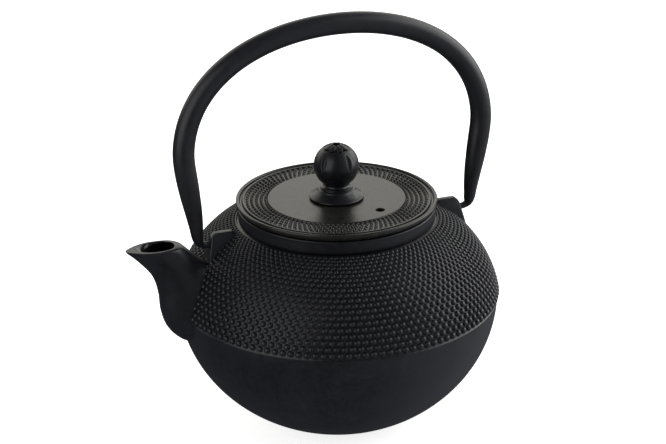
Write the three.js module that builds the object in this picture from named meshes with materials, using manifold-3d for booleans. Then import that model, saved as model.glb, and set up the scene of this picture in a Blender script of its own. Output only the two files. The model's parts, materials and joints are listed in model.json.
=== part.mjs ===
// A cast-iron teapot with a hobnail shoulder, a loose lid with a ball knob, a rolled swinging
// bail and a stainless infuser. Millimetres, +Z up. The origin is the centre of the flat base,
// the spout points along -X, and the bail and its two lugs lie in the XZ plane at rest.

import * as THREE from 'three';
import Module from 'manifold-3d';
import { mergeVertices } from 'three/addons/utils/BufferGeometryUtils.js';

const wasm = await Module();
wasm.setup();

// Driving dimensions: the pot.
const BODY_RADIUS = 82.5;
const WAIST_HEIGHT = 67.5;
const BOWL_DEPTH = 73;
const SHOULDER_REACH = 50;
const SHOULDER_RISE = 46;
const SHOULDER_DROP = 2;
const WALL = 4;
const FLOOR_THICKNESS = 5;
const NECK_RADIUS = 50.2;
const NECK_TOP = WAIST_HEIGHT + 47;
const THROAT_RADIUS = 42.3;
const LEDGE_RADIUS = 45.9;
const LEDGE_DEPTH = 1.4;
const GAP = 0.3;

// Driving dimensions: the lid and its knob.
const LID_RADIUS = 51;
const LID_TOP = NECK_TOP + 3.8;
const LID_RIM_WIDTH = 1.7;
const LID_DISC_RADIUS = 35.5;
const SKIRT_RADIUS = 39.8;
const SKIRT_WALL = 2.2;
const SKIRT_DEPTH = 6.5;
const VENT_RADIUS = 2.4;
const VENT_REACH = 28;
const VENT_ANGLE = THREE.MathUtils.degToRad(-60);
const BALL_RADIUS = 11.4;
const BALL_RISE = 17;
const KNOB_FOOT_RADIUS = 14;
const SCREW_RADIUS = 2;

// Driving dimensions: the bail and its lugs.
const PIVOT_HEIGHT = WAIST_HEIGHT + 35.5;
const BAIL_HALF_WIDTH = 79.2;
const BAIL_SHOULDER = 47;
const BAIL_RISE = 106;
const TUBE_RADIUS = 5.4;
const TUBE_WALL = 1.2;
const SEAM_WIDTH = 1.4;
const PIN_RADIUS = 1.7;
const PIN_TIP = 62;
const PIN_HOLE_RADIUS = 2.1;
const LUG_TOP = 41.2;
const LUG_REACH = 69;
const LUG_TOP_THICKNESS = 4;
const LUG_DRAFT = 0.28;

// Driving dimensions: the infuser.
const BASKET_DEPTH = 52;
const BASKET_RADIUS = 40.4;
const BASKET_TAPER = 2;
const SHEET = 0.8;
const MESH_THICKNESS = 0.6;

const ROUND_STEPS = 56;

const IRON = { color: 0x1b1c20, roughness: 0.55, metalness: 0.2 };
const IRON_LID = { color: 0x232324, roughness: 0.5, metalness: 0.2 };
const STEEL = { color: 0xb9bbbd, roughness: 0.3, metalness: 1 };

const teapot = new THREE.Group();

function addPart(name, geometry, finish) {
  const mesh = new THREE.Mesh(geometry, new THREE.MeshStandardMaterial(finish));
  mesh.name = name;
  teapot.add(mesh);
  return mesh;
}

// Boolean work: a three.js geometry becomes a manifold solid, and comes back.

function toSolid(geometry) {
  const bare = geometry.clone();
  bare.deleteAttribute('normal');
  bare.deleteAttribute('uv');
  const merged = mergeVertices(bare, 1e-4);
  const index = merged.index.array;
  const kept = [];
  for (let i = 0; i < index.length; i += 3) {
    const [a, b, c] = [index[i], index[i + 1], index[i + 2]];
    if (a !== b && b !== c && c !== a) kept.push(a, b, c);
  }
  return new wasm.Manifold(new wasm.Mesh({
    numProp: 3,
    vertProperties: new Float32Array(merged.attributes.position.array),
    triVerts: new Uint32Array(kept),
  }));
}

function toGeometry(solid) {
  const mesh = solid.getMesh();
  const geometry = new THREE.BufferGeometry();
  geometry.setAttribute('position', new THREE.BufferAttribute(mesh.vertProperties, 3));
  geometry.setIndex(new THREE.BufferAttribute(mesh.triVerts, 1));
  geometry.computeVertexNormals();
  return geometry;
}

// Shape helpers.

// Points (radius, height) of part of an ellipse, from one angle to another.
function arc(centreR, centreZ, reach, rise, from, to, steps) {
  const points = [];
  for (let i = 0; i <= steps; i += 1) {
    const angle = from + (to - from) * i / steps;
    points.push([centreR + reach * Math.cos(angle), centreZ + rise * Math.sin(angle)]);
  }
  return points;
}

// A solid turned about the Z axis from a profile of [radius, height] pairs.
function turned(profile, steps = ROUND_STEPS) {
  const points = profile.map(([r, z]) => new THREE.Vector2(r, z));
  return new THREE.LatheGeometry(points, steps).rotateX(Math.PI / 2);
}

// A ring turned about the Z axis: the profile is closed back to its first point.
function turnedRing(profile, steps = ROUND_STEPS) {
  return turned([...profile, profile[0]], steps);
}

// An upright rod or disc between two heights.
function rod(radius, bottom, top, steps = 24) {
  return new THREE.CylinderGeometry(radius, radius, top - bottom, steps)
    .rotateX(Math.PI / 2)
    .translate(0, 0, (top + bottom) / 2);
}

// A capped tube whose surface point at share t of its length and angle a is place(t, a, reach),
// where reach is 1 on the skin and 0 at the centre of an end cap.
function lofted(stations, sides, place) {
  const geometry = new THREE.CylinderGeometry(1, 1, 1, sides, stations);
  const position = geometry.attributes.position;
  for (let i = 0; i < position.count; i += 1) {
    const x = position.getX(i);
    const z = position.getZ(i);
    const t = position.getY(i) + 0.5;
    const p = place(t, Math.atan2(x, z), Math.hypot(x, z));
    position.setXYZ(i, p.x, p.y, p.z);
  }
  return geometry;
}

// The pot: one casting of bowl, shoulder, neck, spout and lugs.

const SHOULDER_CENTRE = BODY_RADIUS - SHOULDER_REACH;

function potOutside() {
  const bowlStart = -Math.asin(WAIST_HEIGHT / BOWL_DEPTH);
  const shoulderStart = Math.asin(SHOULDER_DROP / SHOULDER_RISE);
  const shoulderEnd = Math.acos((NECK_RADIUS + 0.8 - SHOULDER_CENTRE) / SHOULDER_REACH);
  const bowl = arc(0, WAIST_HEIGHT, BODY_RADIUS, BOWL_DEPTH, bowlStart, 0, 10);
  const shoulder = arc(SHOULDER_CENTRE, WAIST_HEIGHT - SHOULDER_DROP,
    SHOULDER_REACH, SHOULDER_RISE, shoulderStart, shoulderEnd, 8);
  const neckFoot = shoulder[shoulder.length - 1][1] + 0.8;
  return [
    [0, 0], ...bowl, ...shoulder.slice(1),
    [NECK_RADIUS, neckFoot], [NECK_RADIUS, NECK_TOP - 0.6], [NECK_RADIUS - 0.6, NECK_TOP],
    [0, NECK_TOP],
  ];
}

function potInside() {
  const reach = SHOULDER_REACH - WALL;
  const rise = SHOULDER_RISE - WALL;
  const shoulderTop = Math.acos((THROAT_RADIUS - SHOULDER_CENTRE) / reach);
  const depth = BOWL_DEPTH - WALL;
  const floorAngle = -Math.asin((WAIST_HEIGHT - FLOOR_THICKNESS) / depth);
  const ledge = NECK_TOP - LEDGE_DEPTH;
  return [
    [0, FLOOR_THICKNESS],
    ...arc(0, WAIST_HEIGHT, BODY_RADIUS - WALL, depth, floorAngle, 0, 7),
    ...arc(SHOULDER_CENTRE, WAIST_HEIGHT - SHOULDER_DROP, reach, rise, 0.1, shoulderTop, 5),
    [THROAT_RADIUS, ledge], [LEDGE_RADIUS, ledge], [LEDGE_RADIUS, NECK_TOP + 1],
    [0, NECK_TOP + 1],
  ];
}

// The spout is set out in the XZ plane by its front (outer) and back (neck side) edges, as
// distance out from the axis and height above the waist, and by its half width in Y.
const SPOUT_FRONT = [
  [62, -15], [74, -17], [84, -13.5], [91, -6], [93.5, 3], [94.3, 13], [97, 23], [103.5, 31.5],
  [109, 37],
];
const SPOUT_BACK = [
  [56, 20], [62, 24], [66.5, 25.5], [69.5, 26.6], [72, 28], [74.5, 30], [77.5, 32.6],
  [80.2, 35], [82.6, 37],
];
const SPOUT_HALF_WIDTH = [12, 13.5, 13.2, 12.2, 11, 10, 9.2, 8.6, 8.2];
const SPOUT_WALL = 2.4;

function edgeCurve(points) {
  return new THREE.CatmullRomCurve3(
    points.map(([out, up]) => new THREE.Vector3(-out, 0, WAIST_HEIGHT + up)),
  );
}

function widthAt(t) {
  const place = t * (SPOUT_HALF_WIDTH.length - 1);
  const low = Math.min(Math.floor(place), SPOUT_HALF_WIDTH.length - 2);
  return THREE.MathUtils.lerp(SPOUT_HALF_WIDTH[low], SPOUT_HALF_WIDTH[low + 1], place - low);
}

// One skin of the spout: wall is 0 for the outside and the wall's thickness for the bore. The
// section is an oval that draws to a point at the lip, and the bore runs on past both ends.
function spoutSkin(wall) {
  const front = edgeCurve(SPOUT_FRONT);
  const back = edgeCurve(SPOUT_BACK);
  return lofted(14, 20, (t, angle, reach) => {
    const f = front.getPoint(t);
    const b = back.getPoint(t);
    const middle = f.clone().add(b).multiplyScalar(0.5);
    const half = f.clone().sub(b).multiplyScalar(0.5);
    const length = half.length();
    const pull = wall * (1 + 0.6 * t);
    half.setLength(length - pull);
    const lean = Math.cos(angle);
    const point = 0.42 * THREE.MathUtils.smoothstep(t, 0.55, 1);
    const narrowing = 1 - point * lean * Math.abs(lean);
    const width = (widthAt(t) - wall) * narrowing * (lean > 0 ? 1 - 0.25 * point * lean : 1);
    const p = middle.addScaledVector(half, lean * reach);
    p.y = -Math.sin(angle) * width * reach;
    if (wall > 0 && t > 0.99) p.z += 1;
    return p;
  });
}

// A lug is a drafted fin that stands on the shoulder under one end of the bail.
function lug(side) {
  const outline = new THREE.Shape([
    [52, 34], [56, LUG_TOP], [65.2, LUG_TOP], [67, 39.4], [LUG_REACH, 31.5], [70.4, 24],
    [62, 24],
  ].map(([out, up]) => new THREE.Vector2(out, WAIST_HEIGHT + up)));
  const slab = new THREE.ExtrudeGeometry(outline, { depth: 2, bevelEnabled: false })
    .translate(0, 0, -1)
    .rotateX(Math.PI / 2);
  const position = slab.attributes.position;
  for (let i = 0; i < position.count; i += 1) {
    const up = position.getZ(i) - WAIST_HEIGHT;
    const halfThickness = LUG_TOP_THICKNESS / 2 + (LUG_TOP - up) * LUG_DRAFT;
    position.setY(i, Math.sign(position.getY(i)) * halfThickness);
  }
  const boreStart = PIN_TIP - 1;
  const boreLength = LUG_REACH + 1 - boreStart;
  const bore = new THREE.CylinderGeometry(PIN_HOLE_RADIUS, PIN_HOLE_RADIUS, boreLength, 16)
    .rotateZ(Math.PI / 2)
    .translate(boreStart + boreLength / 2, 0, PIVOT_HEIGHT);
  if (side < 0) {
    slab.rotateZ(Math.PI);
    bore.rotateZ(Math.PI);
  }
  return { fin: toSolid(slab), bore: toSolid(bore) };
}

function potBody() {
  const left = lug(-1);
  const right = lug(1);
  const solid = toSolid(turned(potOutside()))
    .add(toSolid(spoutSkin(0)))
    .add(left.fin)
    .add(right.fin)
    .subtract(toSolid(turned(potInside())))
    .subtract(toSolid(spoutSkin(SPOUT_WALL)))
    .subtract(left.bore)
    .subtract(right.bore);
  return toGeometry(solid);
}

// The lid: a plate with a raised rim, a groove, a textured band, a vent and a locating skirt.

const LID_BOTTOM = NECK_TOP + GAP;

function lid() {
  const rimInner = LID_RADIUS - LID_RIM_WIDTH;
  const skirtInner = SKIRT_RADIUS - SKIRT_WALL;
  const seatRadius = LEDGE_RADIUS + 0.6;
  const plate = turned([
    [0, LID_BOTTOM], [skirtInner, LID_BOTTOM],
    [skirtInner, LID_BOTTOM - SKIRT_DEPTH], [SKIRT_RADIUS, LID_BOTTOM - SKIRT_DEPTH],
    [SKIRT_RADIUS, LID_BOTTOM], [seatRadius, LID_BOTTOM], [NECK_RADIUS - 0.8, LID_BOTTOM],
    [LID_RADIUS - 0.6, LID_BOTTOM + 1.2],
    [LID_RADIUS, LID_BOTTOM + 1.8], [LID_RADIUS, LID_TOP - 0.6], [LID_RADIUS - 0.5, LID_TOP],
    [rimInner, LID_TOP], [rimInner - 0.3, LID_TOP - 1.1], [rimInner - 1.3, LID_TOP - 1.1],
    [rimInner - 1.6, LID_TOP - 0.2], [rimInner - 2.6, LID_TOP - 0.2],
    [rimInner - 2.9, LID_TOP - 0.7], [LID_DISC_RADIUS + 0.4, LID_TOP - 0.7],
    [LID_DISC_RADIUS, LID_TOP - 0.2], [0, LID_TOP - 0.2],
  ]);
  const vent = rod(VENT_RADIUS, LID_BOTTOM - 2, LID_TOP + 2, 20)
    .translate(VENT_REACH * Math.cos(VENT_ANGLE), VENT_REACH * Math.sin(VENT_ANGLE), 0);
  const screwHole = rod(SCREW_RADIUS + GAP, LID_BOTTOM - 2, LID_TOP + 2);
  return toGeometry(toSolid(plate).subtract(toSolid(vent)).subtract(toSolid(screwHole)));
}

// The knob: a ball on a waisted stem and a flared foot, tapped from below for its screw.

const KNOB_SEAT = LID_TOP - 0.2 + GAP;
const TAPPED_DEPTH = 11;

function knob() {
  const foot = KNOB_FOOT_RADIUS;
  const start = -Math.acos(6.9 / BALL_RADIUS);
  const crown = Math.acos(2.2 / BALL_RADIUS);
  const outline = [
    [0, 0], [foot - 0.8, 0], [foot, 1], [foot - 0.4, 2.3], [foot - 2.4, 3.5], [9.2, 4.4],
    [8.7, 5.2], [8, 6.4], [6.8, 7.2],
    ...arc(0, BALL_RISE, BALL_RADIUS, BALL_RADIUS, start, crown, 10),
    [2, BALL_RISE + BALL_RADIUS - 1.6], [0, BALL_RISE + BALL_RADIUS - 2],
  ].map(([r, z]) => [r, z + KNOB_SEAT]);
  const tapped = rod(SCREW_RADIUS + GAP, KNOB_SEAT - 1, KNOB_SEAT + TAPPED_DEPTH);
  return toGeometry(toSolid(turned(outline, 32)).subtract(toSolid(tapped)));
}

const WASHER_THICKNESS = 1;
const WASHER_RADIUS = 6;
const HEAD_RADIUS = 4;
const HEAD_HEIGHT = 2.4;

function knobWasher() {
  const top = LID_BOTTOM - GAP;
  const bottom = top - WASHER_THICKNESS;
  const hole = SCREW_RADIUS + GAP;
  return turnedRing([[hole, bottom], [WASHER_RADIUS, bottom], [WASHER_RADIUS, top], [hole, top]], 32);
}

function knobScrew() {
  const headTop = LID_BOTTOM - 2 * GAP - WASHER_THICKNESS;
  const headBottom = headTop - HEAD_HEIGHT;
  const outline = [
    [0, headBottom], [HEAD_RADIUS - 1, headBottom], [HEAD_RADIUS, headBottom + 1],
    [HEAD_RADIUS, headTop], [SCREW_RADIUS, headTop],
    [SCREW_RADIUS, KNOB_SEAT + TAPPED_DEPTH - 1], [0, KNOB_SEAT + TAPPED_DEPTH - 1],
  ];
  const slot = new THREE.BoxGeometry(2 * HEAD_RADIUS + 2, 1, 2).translate(0, 0, headBottom);
  return toGeometry(toSolid(turned(outline, 32)).subtract(toSolid(slot)));
}

// The bail: a sheet-steel tube rolled with its seam on the inside, drawn down at both ends to a
// pin that turns inward into the lug.

// Centre line of the right half, as distance out and height above the pivot line.
const BAIL_END = [[PIN_TIP, 0], [66, 0], [70, 0], [72.7, 1.3], [73.8, 5], [74.3, 10.5],
  [75.4, 19], [77, 29]];

function bailPoints() {
  const arch = [];
  const steps = 18;
  for (let i = 0; i <= steps; i += 1) {
    const angle = Math.PI * i / steps;
    const fullness = 1 + 0.02 * Math.sin(2 * angle) ** 2;
    arch.push([
      BAIL_HALF_WIDTH * Math.cos(angle) * fullness,
      BAIL_SHOULDER + (BAIL_RISE - BAIL_SHOULDER) * Math.sin(angle) * fullness,
    ]);
  }
  const left = BAIL_END.map(([out, up]) => [-out, up]).reverse();
  return [...BAIL_END, ...arch, ...left].map(
    ([out, up]) => new THREE.Vector3(out, 0, PIVOT_HEIGHT + up),
  );
}

const bailCurve = new THREE.CatmullRomCurve3(bailPoints(), false, 'centripetal');
bailCurve.arcLengthDivisions = 800;
const BAIL_LENGTH = bailCurve.getLength();
const PIN_LENGTH = 8.5;
const NECK_LENGTH = 15;
const TAPER_LENGTH = 50;
const NECK_TUBE_RADIUS = 3;

function tubeRadius(distance) {
  const neck = NECK_TUBE_RADIUS;
  if (distance < PIN_LENGTH) return PIN_RADIUS;
  if (distance < NECK_LENGTH) {
    const share = (distance - PIN_LENGTH) / (NECK_LENGTH - PIN_LENGTH);
    return THREE.MathUtils.lerp(PIN_RADIUS, neck, share);
  }
  const share = Math.min((distance - NECK_LENGTH) / (TAPER_LENGTH - NECK_LENGTH), 1);
  return THREE.MathUtils.lerp(neck, TUBE_RADIUS, Math.sin(share * Math.PI / 2));
}

// Stations along the bail crowd towards its ends, where it bends tightest: 0 is even spacing.
const END_CROWDING = 0.72;

// A tube along the bail between two distances from its tips. Its section at each station is
// section(angle, radius) = [inward, sideways] from the centre line.
function alongBail(inset, stations, sides, section) {
  const start = inset / BAIL_LENGTH;
  return lofted(stations, sides, (t, angle, reach) => {
    const eased = t - END_CROWDING * Math.sin(2 * Math.PI * t) / (2 * Math.PI);
    const share = start + (1 - 2 * start) * eased;
    const centre = bailCurve.getPointAt(share);
    const tangent = bailCurve.getTangentAt(share);
    const inward = new THREE.Vector3(-tangent.z, 0, tangent.x);
    const distance = Math.min(share, 1 - share) * BAIL_LENGTH;
    const [inwardBy, sideways] = section(angle, tubeRadius(distance));
    const p = centre.addScaledVector(inward, inwardBy * reach);
    p.y -= sideways * reach;
    return p;
  });
}

// The tube is solid this far from each tip; beyond it the hollow and the seam begin.
const SEAM_START = 34;

function bailHandle() {
  const skin = alongBail(0, 52, 12, (a, r) => [r * Math.cos(a), r * Math.sin(a)]);
  const core = alongBail(SEAM_START, 30, 8, (a, r) => {
    const inner = r - TUBE_WALL;
    return [inner * Math.cos(a), inner * Math.sin(a)];
  });
  const seam = alongBail(SEAM_START + 2, 30, 4, (a, r) => {
    const corner = a + Math.PI / 4;
    const inwardEdge = Math.cos(corner) > 0 ? r + 1 : 0;
    return [inwardEdge, Math.sign(Math.sin(corner)) * SEAM_WIDTH / 2];
  });
  return toGeometry(toSolid(skin).subtract(toSolid(core)).subtract(toSolid(seam)));
}

// The infuser: a drawn rim, a woven sleeve and floor, and the ring that binds them.

const RIM_BOTTOM = NECK_TOP - LEDGE_DEPTH + GAP;
const COLLAR_RADIUS = THROAT_RADIUS - 0.5;
const COLLAR_BOTTOM = RIM_BOTTOM - 8;
const BASKET_BOTTOM = NECK_TOP - BASKET_DEPTH;

function infuserRim() {
  const flange = LEDGE_RADIUS - 0.5;
  const top = RIM_BOTTOM + SHEET;
  const inner = COLLAR_RADIUS - SHEET;
  return turnedRing([
    [inner, COLLAR_BOTTOM], [COLLAR_RADIUS, COLLAR_BOTTOM], [COLLAR_RADIUS, RIM_BOTTOM],
    [flange, RIM_BOTTOM], [flange, top], [inner + 0.4, top], [inner, top - 0.4],
  ]);
}

function infuserSleeve() {
  const top = COLLAR_BOTTOM - GAP;
  const bottom = BASKET_BOTTOM + 1.5;
  const low = BASKET_RADIUS - BASKET_TAPER;
  return turnedRing([
    [low - MESH_THICKNESS, bottom], [low, bottom],
    [BASKET_RADIUS, top], [BASKET_RADIUS - MESH_THICKNESS, top],
  ]);
}

const BASE_RING_RADIUS = BASKET_RADIUS - BASKET_TAPER + 0.8;

function infuserBaseRing() {
  const outer = BASE_RING_RADIUS;
  const step = BASKET_BOTTOM + 1.5 - GAP;
  return turnedRing([
    [outer - 4, BASKET_BOTTOM], [outer, BASKET_BOTTOM], [outer, step], [outer - 4, step],
  ]);
}

function infuserFloor() {
  return rod(BASE_RING_RADIUS - 4 - GAP, BASKET_BOTTOM + 0.3, BASKET_BOTTOM + 0.9, ROUND_STEPS);
}

addPart('pot_body', potBody(), IRON);
addPart('lid', lid(), IRON_LID);
addPart('lid_knob', knob(), IRON);
addPart('knob_washer', knobWasher(), STEEL);
addPart('knob_screw', knobScrew(), STEEL);
addPart('bail_handle', bailHandle(), IRON);
addPart('infuser_rim', infuserRim(), STEEL);
addPart('infuser_sleeve', infuserSleeve(), STEEL);
addPart('infuser_base_ring', infuserBaseRing(), STEEL);
addPart('infuser_floor', infuserFloor(), STEEL);

export default teapot;
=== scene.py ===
# %% [markdown]
# # A cast-iron teapot with a hobnail shoulder
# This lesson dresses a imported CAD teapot.

# %% Load the frame
import json
import math

import bpy
import numpy as np
from mathutils import Euler, Matrix, Vector


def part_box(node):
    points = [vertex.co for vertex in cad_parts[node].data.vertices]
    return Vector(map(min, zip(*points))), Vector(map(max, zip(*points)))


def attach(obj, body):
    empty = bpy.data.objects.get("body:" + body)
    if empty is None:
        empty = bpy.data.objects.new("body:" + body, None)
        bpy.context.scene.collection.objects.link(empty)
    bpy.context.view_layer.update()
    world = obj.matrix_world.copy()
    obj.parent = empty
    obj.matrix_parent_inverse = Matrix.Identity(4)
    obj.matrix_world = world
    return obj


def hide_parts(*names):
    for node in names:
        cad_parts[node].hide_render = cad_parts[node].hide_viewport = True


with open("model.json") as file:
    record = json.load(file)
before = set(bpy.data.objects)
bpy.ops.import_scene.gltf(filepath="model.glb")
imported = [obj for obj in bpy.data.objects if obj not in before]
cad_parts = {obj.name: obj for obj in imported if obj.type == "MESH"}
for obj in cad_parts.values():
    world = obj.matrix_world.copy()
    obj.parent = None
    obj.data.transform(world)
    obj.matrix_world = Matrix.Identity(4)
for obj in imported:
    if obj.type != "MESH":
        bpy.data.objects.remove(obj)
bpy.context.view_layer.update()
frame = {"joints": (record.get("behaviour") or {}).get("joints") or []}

MM = 0.001

# %% [markdown]
# The driving sizes come from the frame, so that a change in the CAD model moves everything here.
# The pot's box gives the body's width and the neck's top, the lid's box gives the lid, and the
# bail's hinge gives the height of the two pins. The sizes of the pieces are in millimetres and
# become metres where a mesh or a texture is made; camera and lights are placed in metres.

# %% Sizes taken from the frame
def heights(node):
    """The lowest and the highest point of a CAD piece, in millimetres."""
    low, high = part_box(node)
    return low.z / MM, high.z / MM


pot_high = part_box("pot_body")[1]
lid_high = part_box("lid")[1]
joints = {joint["name"]: joint for joint in frame["joints"]}

BODY_RADIUS = pot_high.y / MM
NECK_TOP = pot_high.z / MM
LID_RADIUS = lid_high.y / MM
LID_TOP = lid_high.z / MM
KNOB_SEAT = heights("lid_knob")[0]
PIVOT_HEIGHT = joints["bail_swing"]["pos_m"][2] / MM
NECK_ABOVE_WAIST = 47
WAIST_HEIGHT = NECK_TOP - NECK_ABOVE_WAIST
print(f"body radius {BODY_RADIUS:.1f} mm, neck top {NECK_TOP:.1f} mm")
print(f"pins at {PIVOT_HEIGHT:.1f} mm, waist at {WAIST_HEIGHT:.1f} mm")

# %% [markdown]
# ## Camera, light and floor
# The camera stands in front and a little to the spout's side, and looks down at the pot.
# A long lens keeps the perspective mild. The view transform is the plain one, so that the black
# finish is shown as dark as it is.

# %% Camera
VIEW_AZIMUTH = math.radians(-20.6)
VIEW_ELEVATION = math.radians(24.5)
VIEW_DISTANCE = 1.0
AIM_BELOW_HORIZON = math.radians(22.55)
AIM_ASIDE = math.radians(0.12)
CAMERA_ROLL = math.radians(-0.5)

camera_data = bpy.data.cameras.new("camera")
camera_data.lens = 104.8
camera = bpy.data.objects.new("camera", camera_data)
bpy.context.scene.collection.objects.link(camera)
back = Vector((
    math.sin(VIEW_AZIMUTH) * math.cos(VIEW_ELEVATION),
    -math.cos(VIEW_AZIMUTH) * math.cos(VIEW_ELEVATION),
    math.sin(VIEW_ELEVATION),
))
camera.location = Vector((0, 0, WAIST_HEIGHT * MM)) + back * VIEW_DISTANCE
aim = Euler((math.pi / 2 - AIM_BELOW_HORIZON, 0, VIEW_AZIMUTH + AIM_ASIDE))
camera.rotation_euler = (aim.to_matrix() @ Matrix.Rotation(CAMERA_ROLL, 3, "Z")).to_euler()
bpy.context.scene.camera = camera
bpy.context.scene.view_settings.view_transform = "Standard"

# %% [markdown]
# Black enamel shows almost nothing but what it mirrors, so the light is a set of large soft
# cards. One small function adds a shader node, its settings and its links. It serves the world
# here and every material later.

# %% One function for every shader node
def add_node(tree, kind, inputs=None, links=None, **settings):
    """Adds a node; inputs sets socket values, links joins sockets, settings are its options."""
    node = tree.nodes.new(kind)
    for name, value in settings.items():
        setattr(node, name, value)
    for name, value in (inputs or {}).items():
        node.inputs[name].default_value = value
    for name, source in (links or {}).items():
        tree.links.new(source, node.inputs[name])
    return node


def linear(hex_colour):
    """An sRGB hex colour as linear red, green, blue and alpha."""
    channels = [int(hex_colour[i:i + 2], 16) / 255 for i in (1, 3, 5)]
    return [c / 12.92 if c <= 0.04045 else ((c + 0.055) / 1.055) ** 2.4 for c in channels] + [1]


def ramp_stops(node, stops):
    """Sets the stops of a colour ramp from (place, hex colour) pairs."""
    elements = node.color_ramp.elements
    while len(elements) < len(stops):
        elements.new(0.5)
    for element, (place, colour) in zip(elements, stops):
        element.position = place
        element.color = linear(colour)


# %% [markdown]
# The world is a room with one bright card: a white wall behind the pot, low enough that only
# level surfaces such as the lid mirror it. The right side of the room glows a little, the rest is
# dark grey, and the wall stops at the horizon, so the pot's outline stays dark. Each part is a
# gradient of the direction, and they are summed.

# %% World: a low white wall in a dark room
WALL_STRENGTH = 1.22
ROOM_DARK = 0.055
ROOM_GLOW = 0.36

world = bpy.data.worlds.new("studio")
bpy.context.scene.world = world
world.use_nodes = True
tree = world.node_tree
tree.nodes.clear()
away = Vector((-back.x, -back.y, 0)).normalized()
right = Vector((away.y, -away.x, 0))
direction = add_node(tree, "ShaderNodeTexCoord").outputs["Generated"]
height = add_node(tree, "ShaderNodeSeparateXYZ", links={"Vector": direction}).outputs["Z"]


def towards(axis, start, end, low, high):
    """A soft rise of light from low to high as a direction turns towards an axis."""
    facing = add_node(tree, "ShaderNodeVectorMath", operation="DOT_PRODUCT",
                      inputs={1: axis}, links={0: direction})
    return add_node(tree, "ShaderNodeMapRange", interpolation_type="SMOOTHSTEP",
                    inputs={"From Min": start, "From Max": end, "To Min": low, "To Max": high},
                    links={"Value": facing.outputs["Value"]}).outputs["Result"]


lifted = add_node(tree, "ShaderNodeMapRange", inputs={"From Min": -1, "From Max": 1},
                  links={"Value": height})
wall_heights = add_node(tree, "ShaderNodeValToRGB", links={"Fac": lifted.outputs["Result"]})
ramp_stops(wall_heights, [(0.50, "#000000"), (0.56, "#ffffff"), (0.78, "#ffffff"),
                          (0.86, "#6a6a6a"), (0.95, "#1c1c1c")])
wall = add_node(tree, "ShaderNodeMath", operation="MULTIPLY",
                links={0: towards(away, 0.05, 0.6, 0.0, WALL_STRENGTH),
                       1: wall_heights.outputs["Color"]})
wall_light = add_node(tree, "ShaderNodeBackground", inputs={"Color": linear("#fffdf4")},
                      links={"Strength": wall.outputs["Value"]})
room_light = add_node(tree, "ShaderNodeBackground", inputs={"Color": linear("#f4f6ff")},
                      links={"Strength": towards(right, 0.0, 0.95, ROOM_DARK, ROOM_GLOW)})
both = add_node(tree, "ShaderNodeAddShader",
                links={0: wall_light.outputs["Background"], 1: room_light.outputs["Background"]})
add_node(tree, "ShaderNodeOutputWorld", links={"Surface": both.outputs["Shader"]})

# %% [markdown]
# Two soft boxes add shape, one on each side. A third hangs high above and gives the floor its
# light and its soft shadow; it makes no highlight. The floor is white paper on a light table, so
# it glows a little itself and keeps the shadow pale.

# %% Soft boxes and the floor
def soft_box(name, place, aim, size, power):
    """A square area light that faces a point."""
    data = bpy.data.lights.new(name, "AREA")
    data.size = size
    data.energy = power
    light = bpy.data.objects.new(name, data)
    light.location = place
    light.rotation_euler = (Vector(aim) - Vector(place)).to_track_quat("-Z", "Y").to_euler()
    bpy.context.scene.collection.objects.link(light)
    return light


POT_MIDDLE = (0, 0, 0.08)
overhead = soft_box("overhead_box", (0, 0.1, 1.6), POT_MIDDLE, 1.6, 12)
overhead.visible_glossy = False
soft_box("right_box", (1.0, -0.15, 0.55), POT_MIDDLE, 1.2, 9)
soft_box("left_box", (-0.95, -0.35, 0.4), POT_MIDDLE, 1.1, 4.5)

FLOOR_HALF = 3.0
floor_mesh = bpy.data.meshes.new("floor")
floor_mesh.from_pydata(
    [(-FLOOR_HALF, -FLOOR_HALF, 0), (FLOOR_HALF, -FLOOR_HALF, 0),
     (FLOOR_HALF, FLOOR_HALF, 0), (-FLOOR_HALF, FLOOR_HALF, 0)], [], [(0, 1, 2, 3)])
floor = bpy.data.objects.new("floor", floor_mesh)
bpy.context.scene.collection.objects.link(floor)
floor_paper = bpy.data.materials.new("white_paper_on_light_table")
floor_paper.use_nodes = True
floor_shader = floor_paper.node_tree.nodes["Principled BSDF"]
floor_shader.inputs["Base Color"].default_value = linear("#f4f4f2")
floor_shader.inputs["Roughness"].default_value = 0.9
floor_shader.inputs["Emission Color"].default_value = linear("#ffffff")
floor_shader.inputs["Emission Strength"].default_value = 0.8
floor_mesh.materials.append(floor_paper)
floor.visible_glossy = False

# %% [markdown]
# ## Materials
# The pot, the lid and the knob are sand-cast iron with a satin black enamel baked on. The sand
# leaves a fine grain of about half a millimetre under the coat, the coat pools unevenly, and
# handling polishes the high edges. So colour and roughness drift over centimetres, and a bump
# of two grain sizes roughens the skin. Every material uses the same few steps, so those are
# small functions first.

# %% Parts that every material shares
def start_material(name):
    """A new node material, with its tree, its shader and its object coordinates."""
    material = bpy.data.materials.new(name)
    material.use_nodes = True
    tree = material.node_tree
    place = add_node(tree, "ShaderNodeTexCoord").outputs["Object"]
    return material, tree, tree.nodes["Principled BSDF"], place


def noise(tree, place, size, detail, **more):
    """Cloudy noise whose features are about size millimetres across."""
    return add_node(tree, "ShaderNodeTexNoise", links={"Vector": place},
                    inputs={"Scale": 1 / (size * MM), "Detail": detail, **more})


def tinted(tree, value, stops):
    """A colour ramp driven by a value."""
    ramp = add_node(tree, "ShaderNodeValToRGB", links={"Fac": value})
    ramp_stops(ramp, stops)
    return ramp.outputs["Color"]


def stretched(tree, value, low, high, start=0.0, end=1.0):
    """A value between start and end, stretched to run from low to high."""
    return add_node(tree, "ShaderNodeMapRange", links={"Value": value},
                    inputs={"From Min": start, "From Max": end, "To Min": low, "To Max": high}
                    ).outputs["Result"]


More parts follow.
